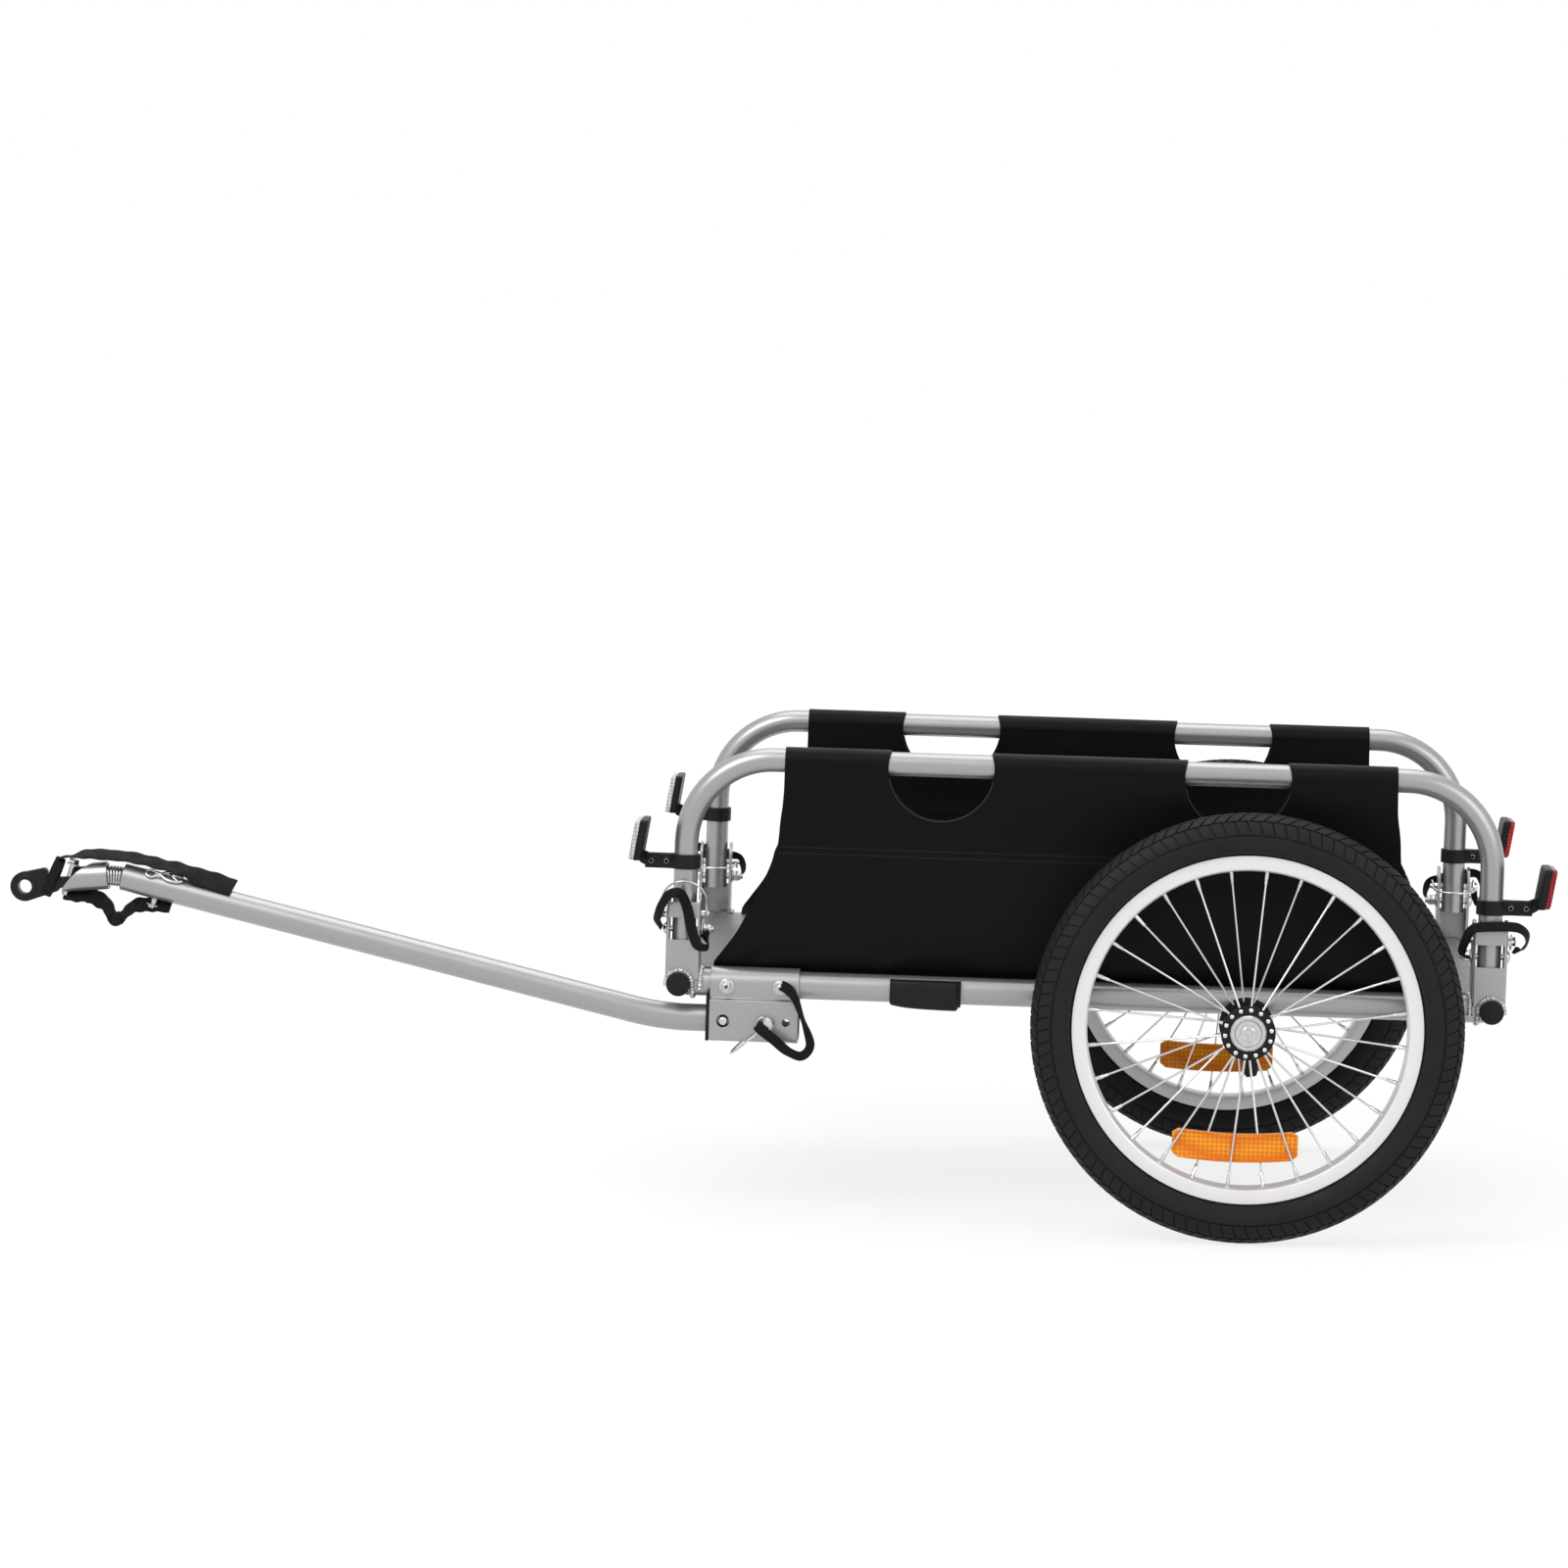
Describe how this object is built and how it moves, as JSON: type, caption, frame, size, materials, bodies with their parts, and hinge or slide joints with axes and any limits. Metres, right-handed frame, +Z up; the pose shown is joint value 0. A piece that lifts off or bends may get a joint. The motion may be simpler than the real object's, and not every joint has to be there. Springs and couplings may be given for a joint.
{
  "type": "bike cargo trailer",
  "caption": "Single-arm bicycle cargo trailer: tube bed frame with cloth-walled side hoops that fold in, spoked wheels and a bent, removable tow bar with a sprung eye hitch.",
  "frame": {"origin": "On the ground below the middle of the trailer's length, midway between the wheels.", "axes": "+X to the tail, -X to the hitch, +Y to the trailer's right, +Z up. The wheels touch Z = 0."},
  "size_m": [1.4371, 0.6478, 0.4398],
  "materials": {
    "silver_paint": "silver metallic powder coat",
    "zinc_plate": "bright zinc plate",
    "rim_alloy": "satin silver",
    "tyre_rubber": "black rubber, plain sidewall",
    "black_plastic": "black, moulded",
    "coated_cloth": "black woven, coated",
    "black_webbing": "black woven webbing",
    "black_casting": "black coated forging",
    "amber_lens": "amber prism reflector",
    "red_lens": "red prism reflector in a black tray",
    "clear_lens": "clear prism reflector in a black tray"
  },
  "bodies": {
    "frame": {"side_rail_left": "silver_paint", "side_rail_right": "silver_paint", "cross_tube_front": "silver_paint", "cross_tube_rear": "silver_paint", "bed_panel": "silver_paint", "upright_bracket_front_left": "silver_paint", "upright_bracket_front_right": "silver_paint", "upright_bracket_rear_left": "silver_paint", "upright_bracket_rear_right": "silver_paint", "pivot_bolt_front_left": "zinc_plate", "pivot_bolt_front_right": "zinc_plate", "pivot_bolt_rear_left": "zinc_plate", "pivot_bolt_rear_right": "zinc_plate", "tow_receiver": "silver_paint", "receiver_liner": "black_plastic", "rail_block_left": "black_plastic", "cloth_skirt_left": "coated_cloth", "cloth_skirt_right": "coated_cloth", "wheel_axle_left": "zinc_plate", "wheel_axle_right": "zinc_plate", "tow_pin_strap": "black_webbing"},
    "tow_bar": {"tow_bar": "silver_paint", "strap_hook": "zinc_plate"},
    "snap_button": {"snap_button": "zinc_plate"},
    "tow_pin": {"tow_pin": "zinc_plate"},
    "tow_bail": {"tow_bail": "zinc_plate"},
    "coupler": {"coupler_spring": "zinc_plate", "safety_strap": "black_webbing"},
    "hitch": {"coupler_sleeve": "silver_paint", "hitch_arm": "black_casting"},
    "hoop_left": {"hoop_left": "silver_paint", "side_cloth_left": "coated_cloth", "reflector_clamp_front_left": "black_plastic", "reflector_clamp_rear_left": "black_plastic"},
    "wheel_left": {"tyre_left": "tyre_rubber", "spoked_rim_left": "rim_alloy", "hub_left": "black_plastic", "wheel_reflector_left": "amber_lens"},
    "axle_lever_left": {"axle_lever_left": "black_plastic"},
    "reflector_front_left": {"reflector_front_left": "clear_lens"},
    "lock_pin_front_left": {"lock_pin_front_left": "zinc_plate"},
    "lock_bail_front_left": {"lock_bail_front_left": "zinc_plate"},
    "reflector_rear_left": {"reflector_rear_left": "red_lens"},
    "lock_pin_rear_left": {"lock_pin_rear_left": "zinc_plate"},
    "lock_bail_rear_left": {"lock_bail_rear_left": "zinc_plate"},
    "hoop_right": {"hoop_right": "silver_paint", "side_cloth_right": "coated_cloth", "reflector_clamp_front_right": "black_plastic", "reflector_clamp_rear_right": "black_plastic"},
    "wheel_right": {"tyre_right": "tyre_rubber", "spoked_rim_right": "rim_alloy", "hub_right": "black_plastic", "wheel_reflector_right": "amber_lens"},
    "axle_lever_right": {"axle_lever_right": "black_plastic"},
    "reflector_front_right": {"reflector_front_right": "clear_lens"},
    "lock_pin_front_right": {"lock_pin_front_right": "zinc_plate"},
    "lock_bail_front_right": {"lock_bail_front_right": "zinc_plate"},
    "reflector_rear_right": {"reflector_rear_right": "red_lens"},
    "lock_pin_rear_right": {"lock_pin_rear_right": "zinc_plate"},
    "lock_bail_rear_right": {"lock_bail_rear_right": "zinc_plate"}
  },
  "joints": [
    {"name": "hoop_fold_left", "type": "hinge", "parent": "frame", "child": "hoop_left", "pos_m": [-0.0857, -0.23, 0.2667], "axis": [-1, 0, 0], "range_deg": [0, 90], "deforming": ["lock_pin_front_left", "lock_pin_rear_left", "lock_bail_front_left", "lock_bail_rear_left"]},
    {"name": "wheel_spin_left", "type": "hinge", "parent": "frame", "child": "wheel_left", "pos_m": [0.4378, -0.287, 0.199], "axis": [0, 1, 0], "continuous": true},
    {"name": "lever_swing_left", "type": "hinge", "parent": "frame", "child": "axle_lever_left", "pos_m": [0.4378, -0.1955, 0.199], "axis": [1, 0, 0], "range_deg": [0, 90]},
    {"name": "reflector_tilt_front_left", "type": "hinge", "parent": "hoop_left", "child": "reflector_front_left", "pos_m": [-0.1177, -0.23, 0.33], "axis": [0, 1, 0], "range_deg": [-20, 20]},
    {"name": "pin_pull_front_left", "type": "slide", "parent": "frame", "child": "lock_pin_front_left", "axis": [-1, 0, 0], "range_m": [0, 0.045], "deforming": ["lock_bail_front_left"]},
    {"name": "bail_swing_front_left", "type": "hinge", "parent": "lock_pin_front_left", "child": "lock_bail_front_left", "pos_m": [-0.1055, -0.23, 0.2812], "axis": [0, -0.866, -0.5], "range_deg": [0, 90]},
    {"name": "reflector_tilt_rear_left", "type": "hinge", "parent": "hoop_left", "child": "reflector_rear_left", "pos_m": [0.6923, -0.23, 0.3125], "axis": [0, 1, 0], "range_deg": [-20, 20]},
    {"name": "pin_pull_rear_left", "type": "slide", "parent": "frame", "child": "lock_pin_rear_left", "axis": [1, 0, 0], "range_m": [0, 0.045], "deforming": ["lock_bail_rear_left"]},
    {"name": "bail_swing_rear_left", "type": "hinge", "parent": "lock_pin_rear_left", "child": "lock_bail_rear_left", "pos_m": [0.6801, -0.23, 0.2812], "axis": [0, -0.0872, -0.9962], "range_deg": [0, 90]},
    {"name": "hoop_fold_right", "type": "hinge", "parent": "frame", "child": "hoop_right", "pos_m": [-0.0857, 0.23, 0.2667], "axis": [1, 0, 0], "range_deg": [0, 90], "deforming": ["lock_pin_front_right", "lock_pin_rear_right", "lock_bail_front_right", "lock_bail_rear_right"]},
    {"name": "wheel_spin_right", "type": "hinge", "parent": "frame", "child": "wheel_right", "pos_m": [0.4378, 0.287, 0.199], "axis": [0, 1, 0], "continuous": true},
    {"name": "lever_swing_right", "type": "hinge", "parent": "frame", "child": "axle_lever_right", "pos_m": [0.4378, 0.1955, 0.199], "axis": [-1, 0, 0], "range_deg": [0, 90]},
    {"name": "reflector_tilt_front_right", "type": "hinge", "parent": "hoop_right", "child": "reflector_front_right", "pos_m": [-0.1177, 0.23, 0.33], "axis": [0, 1, 0], "range_deg": [-20, 20]},
    {"name": "pin_pull_front_right", "type": "slide", "parent": "frame", "child": "lock_pin_front_right", "axis": [-1, 0, 0], "range_m": [0, 0.045], "deforming": ["lock_bail_front_right"]},
    {"name": "bail_swing_front_right", "type": "hinge", "parent": "lock_pin_front_right", "child": "lock_bail_front_right", "pos_m": [-0.1055, 0.23, 0.2812], "axis": [0, 0.0872, -0.9962], "range_deg": [0, 90]},
    {"name": "reflector_tilt_rear_right", "type": "hinge", "parent": "hoop_right", "child": "reflector_rear_right", "pos_m": [0.6923, 0.23, 0.3125], "axis": [0, 1, 0], "range_deg": [-20, 20]},
    {"name": "pin_pull_rear_right", "type": "slide", "parent": "frame", "child": "lock_pin_rear_right", "axis": [1, 0, 0], "range_m": [0, 0.045], "deforming": ["lock_bail_rear_right"]},
    {"name": "bail_swing_rear_right", "type": "hinge", "parent": "lock_pin_rear_right", "child": "lock_bail_rear_right", "pos_m": [0.6801, 0.23, 0.2812], "axis": [0, -0.0872, 0.9962], "range_deg": [0, 90]},
    {"name": "tow_bar_slide", "type": "slide", "parent": "frame", "child": "tow_bar", "axis": [-1, 0, 0], "range_m": [0, 0.085], "deforming": ["tow_pin", "tow_bail", "snap_button"]},
    {"name": "snap_button_press", "type": "slide", "parent": "tow_bar", "child": "snap_button", "axis": [0, 1, 0], "range_m": [0, 0.0075], "stiffness_N_per_m": 700, "springref_m": -0.003},
    {"name": "tow_pin_pull", "type": "slide", "parent": "frame", "child": "tow_pin", "axis": [0, -1, 0], "range_m": [0, 0.055], "deforming": ["tow_bail"]},
    {"name": "tow_bail_swing", "type": "hinge", "parent": "tow_pin", "child": "tow_bail", "pos_m": [-0.0037, -0.2541, 0.1837], "axis": [-0.6712, 0, 0.7413], "range_deg": [0, 90]},
    {"name": "coupler_yaw", "type": "hinge", "parent": "tow_bar", "child": "coupler", "pos_m": [-0.61963, -0.23, 0.29878], "axis": [0, 0, 1], "range_deg": [-25, 25], "stiffness_Nm_per_rad": 15, "deforming": ["coupler_spring", "safety_strap"]},
    {"name": "coupler_pitch", "type": "hinge", "parent": "coupler", "child": "hitch", "pos_m": [-0.61963, -0.23, 0.29878], "axis": [0, 1, 0], "range_deg": [-25, 25], "stiffness_Nm_per_rad": 15, "deforming": ["coupler_spring", "safety_strap"]}
  ]
}
